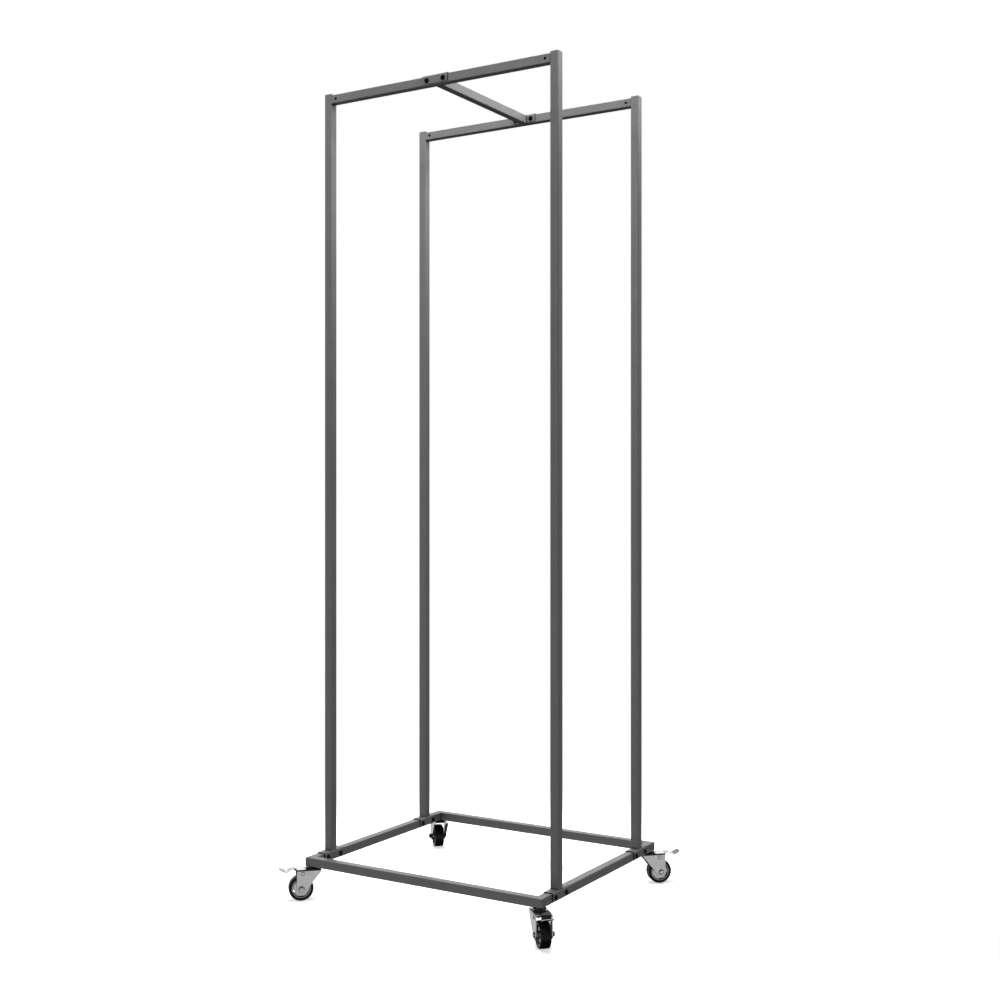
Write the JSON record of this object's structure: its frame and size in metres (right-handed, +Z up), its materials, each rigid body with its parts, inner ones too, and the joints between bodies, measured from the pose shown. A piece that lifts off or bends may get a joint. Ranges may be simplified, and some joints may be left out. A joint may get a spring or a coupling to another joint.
{
  "type": "rolling clothes rack",
  "caption": "Rolling clothes rack of square steel tube: a base frame on braked swivel casters, tall uprights bolted to it, and parallel hanging rails joined by a cross strut.",
  "frame": {"origin": "on the floor, under the middle of the rack", "axes": "+X along the hanging rails, +Y from front to back, +Z up"},
  "size_m": [0.6934, 0.6174, 1.791],
  "materials": {
    "frame_paint": "satin powder coat, dark grey",
    "black_screw": "black oxide",
    "zinc": "bright zinc plated",
    "plain_steel": "plain steel",
    "hub": "satin cast",
    "tyre": "satin rubber"
  },
  "bodies": {
    "frame": {"base_tube_front": "frame_paint", "base_tube_back": "frame_paint", "base_tube_left": "frame_paint", "base_tube_right": "frame_paint", "upright_front_left": "frame_paint", "upright_cap_front_left": "frame_paint", "foot_saddle_front_left": "frame_paint", "upright_front_right": "frame_paint", "upright_cap_front_right": "frame_paint", "foot_saddle_front_right": "frame_paint", "upright_back_right": "frame_paint", "upright_cap_back_right": "frame_paint", "foot_saddle_back_right": "frame_paint", "upright_back_left": "frame_paint", "upright_cap_back_left": "frame_paint", "foot_saddle_back_left": "frame_paint", "hanging_rail_front": "frame_paint", "strut_saddle_front": "frame_paint", "hanging_rail_back": "frame_paint", "strut_saddle_back": "frame_paint", "cross_strut": "frame_paint", "frame_screws": "black_screw", "frame_nuts": "black_screw", "rail_set_screws": "black_screw", "rail_connectors": "plain_steel", "stem_weld_nuts": "plain_steel", "caster_stem_front_left": "zinc", "race_cup_front_left": "zinc", "caster_stem_front_right": "zinc", "race_cup_front_right": "zinc", "caster_stem_back_right": "zinc", "race_cup_back_right": "zinc", "caster_stem_back_left": "zinc", "race_cup_back_left": "zinc"},
    "swivel_front_left": {"caster_fork_front_left": "zinc", "race_balls_front_left": "plain_steel", "fork_fasteners_front_left": "zinc"},
    "wheel_front_left": {"wheel_hub_front_left": "hub", "wheel_tyre_front_left": "tyre"},
    "pedal_front_left": {"brake_pedal_front_left": "zinc"},
    "swivel_front_right": {"caster_fork_front_right": "zinc", "race_balls_front_right": "plain_steel", "fork_fasteners_front_right": "zinc"},
    "wheel_front_right": {"wheel_hub_front_right": "hub", "wheel_tyre_front_right": "tyre"},
    "pedal_front_right": {"brake_pedal_front_right": "zinc"},
    "swivel_back_right": {"caster_fork_back_right": "zinc", "race_balls_back_right": "plain_steel", "fork_fasteners_back_right": "zinc"},
    "wheel_back_right": {"wheel_hub_back_right": "hub", "wheel_tyre_back_right": "tyre"},
    "pedal_back_right": {"brake_pedal_back_right": "zinc"},
    "swivel_back_left": {"caster_fork_back_left": "zinc", "race_balls_back_left": "plain_steel", "fork_fasteners_back_left": "zinc"},
    "wheel_back_left": {"wheel_hub_back_left": "hub", "wheel_tyre_back_left": "tyre"},
    "pedal_back_left": {"brake_pedal_back_left": "zinc"}
  },
  "joints": [
    {"name": "swivel_front_left_turn", "type": "hinge", "parent": "frame", "child": "swivel_front_left", "pos_m": [-0.2905, -0.2525, 0.068], "axis": [0, 0, 1], "continuous": true},
    {"name": "wheel_front_left_roll", "type": "hinge", "parent": "swivel_front_left", "child": "wheel_front_left", "pos_m": [-0.3069, -0.2689, 0.0275], "axis": [0.7071, -0.7071, 0], "continuous": true},
    {"name": "pedal_front_left_press", "type": "hinge", "parent": "swivel_front_left", "child": "pedal_front_left", "pos_m": [-0.30464, -0.26664, 0.0615], "axis": [0.7071, -0.7071, 0], "range_deg": [0, 9]},
    {"name": "swivel_front_right_turn", "type": "hinge", "parent": "frame", "child": "swivel_front_right", "pos_m": [0.2905, -0.2525, 0.068], "axis": [0, 0, 1], "continuous": true},
    {"name": "wheel_front_right_roll", "type": "hinge", "parent": "swivel_front_right", "child": "wheel_front_right", "pos_m": [0.3069, -0.2689, 0.0275], "axis": [0.7071, 0.7071, 0], "continuous": true},
    {"name": "pedal_front_right_press", "type": "hinge", "parent": "swivel_front_right", "child": "pedal_front_right", "pos_m": [0.30464, -0.26664, 0.0615], "axis": [0.7071, 0.7071, 0], "range_deg": [0, 9]},
    {"name": "swivel_back_right_turn", "type": "hinge", "parent": "frame", "child": "swivel_back_right", "pos_m": [0.2905, 0.2525, 0.068], "axis": [0, 0, 1], "continuous": true},
    {"name": "wheel_back_right_roll", "type": "hinge", "parent": "swivel_back_right", "child": "wheel_back_right", "pos_m": [0.3069, 0.2689, 0.0275], "axis": [-0.7071, 0.7071, 0], "continuous": true},
    {"name": "pedal_back_right_press", "type": "hinge", "parent": "swivel_back_right", "child": "pedal_back_right", "pos_m": [0.30464, 0.26664, 0.0615], "axis": [-0.7071, 0.7071, 0], "range_deg": [0, 9]},
    {"name": "swivel_back_left_turn", "type": "hinge", "parent": "frame", "child": "swivel_back_left", "pos_m": [-0.2905, 0.2525, 0.068], "axis": [0, 0, 1], "continuous": true},
    {"name": "wheel_back_left_roll", "type": "hinge", "parent": "swivel_back_left", "child": "wheel_back_left", "pos_m": [-0.3069, 0.2689, 0.0275], "axis": [-0.7071, -0.7071, 0], "continuous": true},
    {"name": "pedal_back_left_press", "type": "hinge", "parent": "swivel_back_left", "child": "pedal_back_left", "pos_m": [-0.30464, 0.26664, 0.0615], "axis": [-0.7071, -0.7071, 0], "range_deg": [0, 9]}
  ]
}
